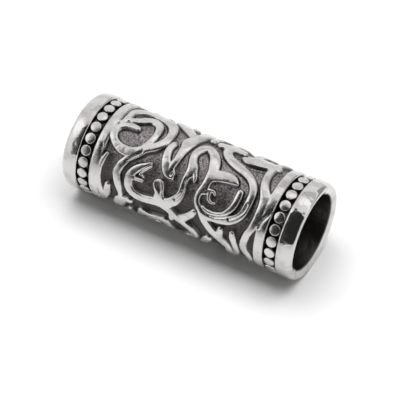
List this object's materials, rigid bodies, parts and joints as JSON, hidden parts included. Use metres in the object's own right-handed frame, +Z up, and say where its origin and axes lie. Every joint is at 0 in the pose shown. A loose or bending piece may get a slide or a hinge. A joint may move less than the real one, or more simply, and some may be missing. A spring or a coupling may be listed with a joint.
{
  "type": "viking hair and beard bead",
  "caption": "Straight cast metal tube bead with a wide plain hole, rounded rims, bands of pips and raised leafy scrollwork; slides onto a lock of hair, a beard plait or a cord.",
  "frame": {"origin": "on the surface that the bead lies on, under the middle of its length and of its hole", "axes": "+X along the hole towards the end that faces the viewer, +Z up, and the viewer on the -Y side"},
  "size_m": [0.0264, 0.0104, 0.0103],
  "materials": {
    "oxidised_steel": "mirror-polished raised surfaces over a dark, finely pitted oxidised ground"
  },
  "bodies": {
    "root": {"bead": "oxidised_steel"}
  },
  "joints": []
}
